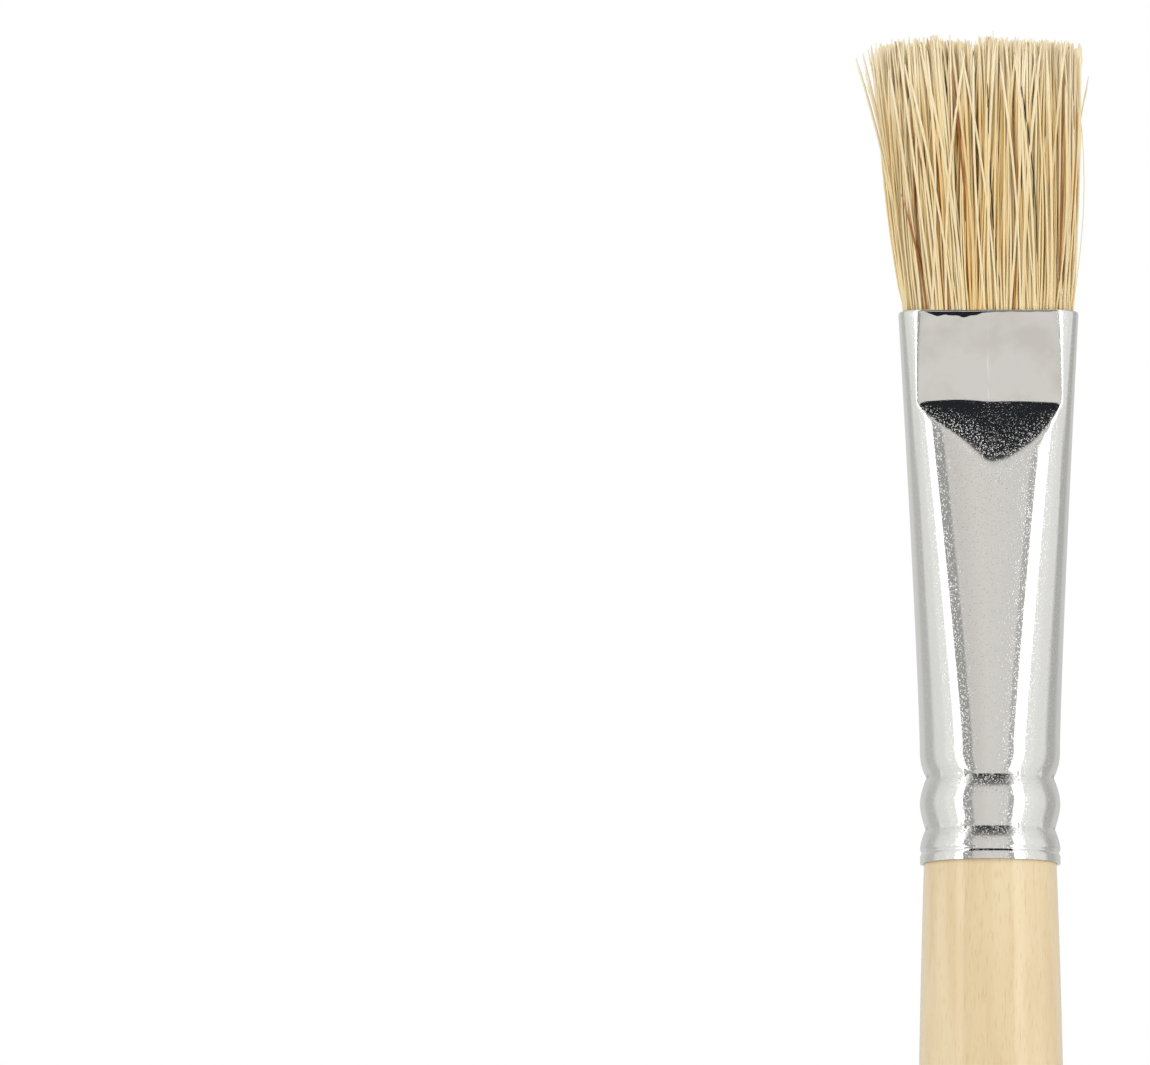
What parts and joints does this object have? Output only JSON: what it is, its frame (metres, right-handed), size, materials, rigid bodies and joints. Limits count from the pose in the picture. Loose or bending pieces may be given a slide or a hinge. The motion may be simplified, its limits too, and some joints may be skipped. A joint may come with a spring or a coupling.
{
  "type": "flat bristle brush",
  "caption": "Flat hog-bristle brush: turned lacquered wood handle, seamless nickel-plated ferrule pressed flat at the mouth and crimped to the handle, square-trimmed tuft set in resin.",
  "frame": {"origin": "lowest point of the handle's tail, on the brush's axis", "axes": "+Z along the brush from the tail to the bristle tips, X across the flat of the ferrule, -Y out of the front flat"},
  "size_m": [0.0188, 0.0134, 0.21],
  "materials": {
    "lacquered_wood": "turned pale hardwood under clear gloss lacquer",
    "nickel_plate": "bright nickel plate on drawn steel tube",
    "resin": "cast amber resin",
    "hog_bristle": "natural pale hog bristle with flagged tips"
  },
  "bodies": {
    "root": {"handle": "lacquered_wood", "ferrule": "nickel_plate", "resin_plug": "resin", "bristle_lock_back_1": "hog_bristle", "bristle_lock_back_2": "hog_bristle", "bristle_lock_back_3": "hog_bristle", "bristle_lock_back_4": "hog_bristle", "bristle_lock_back_5": "hog_bristle", "bristle_lock_back_6": "hog_bristle", "bristle_lock_middle_1": "hog_bristle", "bristle_lock_middle_2": "hog_bristle", "bristle_lock_middle_3": "hog_bristle", "bristle_lock_middle_4": "hog_bristle", "bristle_lock_middle_5": "hog_bristle", "bristle_lock_middle_6": "hog_bristle", "bristle_lock_front_1": "hog_bristle", "bristle_lock_front_2": "hog_bristle", "bristle_lock_front_3": "hog_bristle", "bristle_lock_front_4": "hog_bristle", "bristle_lock_front_5": "hog_bristle", "bristle_lock_front_6": "hog_bristle"}
  },
  "joints": []
}
